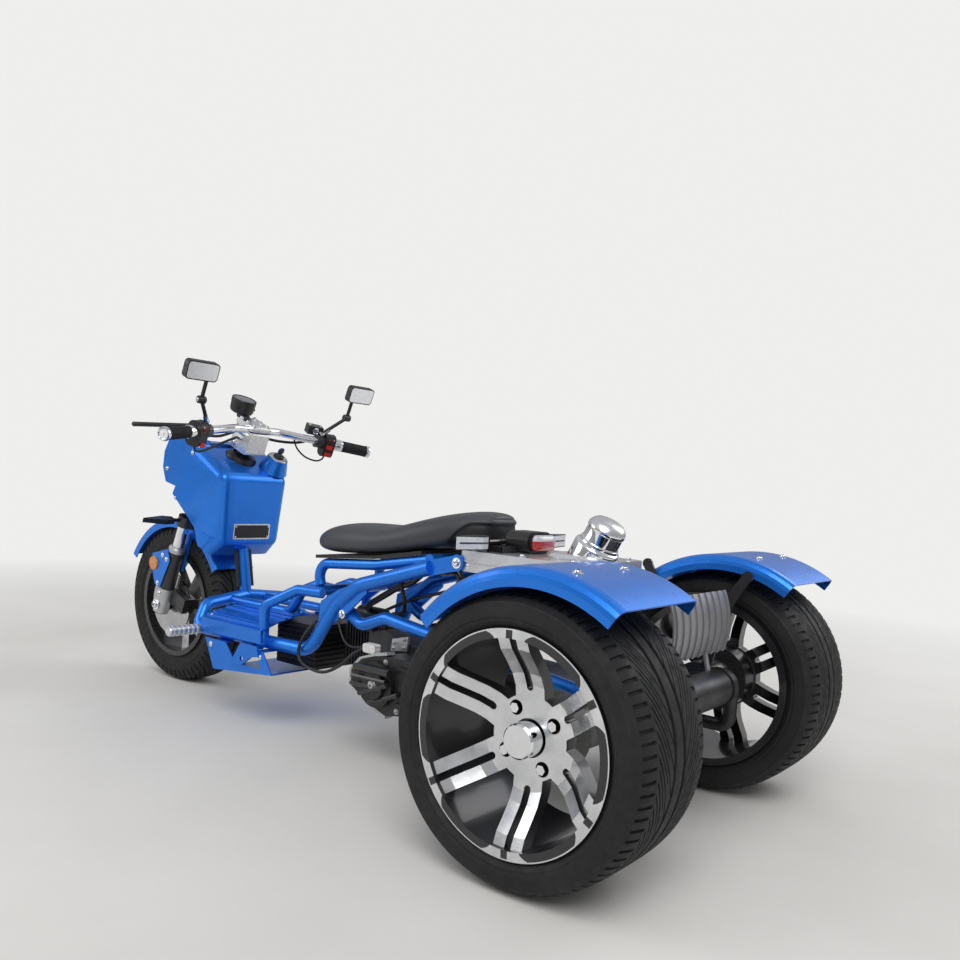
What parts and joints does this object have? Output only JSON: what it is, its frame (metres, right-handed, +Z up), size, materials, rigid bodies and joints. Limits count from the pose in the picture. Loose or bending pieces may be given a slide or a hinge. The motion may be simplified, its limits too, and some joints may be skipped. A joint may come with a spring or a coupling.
{
  "type": "motor trike",
  "caption": "Low step-through motor trike with a tube frame, a raked steered front wheel, a saddle seat and wide alloy rear wheels under fenders.",
  "frame": {"origin": "on the ground, at the middle of the box round the whole trike", "axes": "+X towards the front wheel, +Y to the rider's left, +Z up"},
  "size_m": [2.0594, 0.984, 0.9183],
  "materials": {
    "blue_paint": "gloss metallic",
    "cast_alloy": "satin",
    "silver_paint": "gloss",
    "chrome": "polished",
    "black_metal": "satin",
    "black_plastic": "matte",
    "steel": "brushed",
    "alloy_wheel": "machined",
    "seat_vinyl": "grained vinyl",
    "clear_lens": "gloss",
    "grip_rubber": "matte",
    "tyre": "matte"
  },
  "bodies": {
    "chassis": {"frame_spine": "blue_paint", "frame_rails": "blue_paint", "seat_rails": "blue_paint", "floor_panel": "blue_paint", "belly_pan": "blue_paint", "foot_pegs": "cast_alloy", "swingarm": "blue_paint", "rear_shocks": "black_metal", "axle_housing": "black_metal", "engine_case": "cast_alloy", "cvt_cover": "black_plastic", "engine_cylinder": "black_metal", "exhaust": "black_metal", "heat_shield": "steel", "battery_box": "black_plastic", "fuel_tank": "silver_paint", "fuel_cap": "chrome", "seat_cushion": "seat_vinyl", "seat_base": "black_plastic", "rear_fenders": "blue_paint", "fender_stays": "black_metal", "tail_lamp": "black_plastic", "rear_signals": "clear_lens", "front_box": "blue_paint", "ignition_lock": "black_plastic", "headlight": "black_plastic", "headlight_bracket": "blue_paint", "cable_harness": "grip_rubber"},
    "steering": {"steering_stem": "black_metal", "fork_stanchions": "chrome", "fork_sliders": "black_metal", "handlebar": "black_metal", "bar_riser": "cast_alloy", "grips": "grip_rubber", "switch_housings": "black_plastic", "brake_levers": "black_metal", "mirrors": "black_plastic", "speedometer": "black_plastic", "front_fender": "blue_paint", "front_signals": "black_plastic", "brake_caliper": "black_metal"},
    "front_wheel": {"front_tyre": "tyre", "front_rim": "black_metal", "brake_disc": "steel"},
    "rear_wheel_left": {"rear_tyre_left": "tyre", "rear_rim_left": "alloy_wheel", "rear_hub_left": "black_metal"},
    "rear_wheel_right": {"rear_tyre_right": "tyre", "rear_rim_right": "alloy_wheel", "rear_hub_right": "black_metal"}
  },
  "joints": [
    {"name": "steer", "type": "hinge", "parent": "chassis", "child": "steering", "pos_m": [0.75564, 0, 0.22208], "axis": [-0.373, 0, 0.9278], "range_deg": [-35, 35]},
    {"name": "front_spin", "type": "hinge", "parent": "steering", "child": "front_wheel", "pos_m": [0.79275, 0, 0.237], "axis": [0, 1, 0], "continuous": true},
    {"name": "rear_left_spin", "type": "hinge", "parent": "chassis", "child": "rear_wheel_left", "pos_m": [-0.78125, 0.37, 0.2485], "axis": [0, 1, 0], "continuous": true},
    {"name": "rear_right_spin", "type": "hinge", "parent": "chassis", "child": "rear_wheel_right", "pos_m": [-0.78125, -0.37, 0.2485], "axis": [0, 1, 0], "continuous": true}
  ]
}
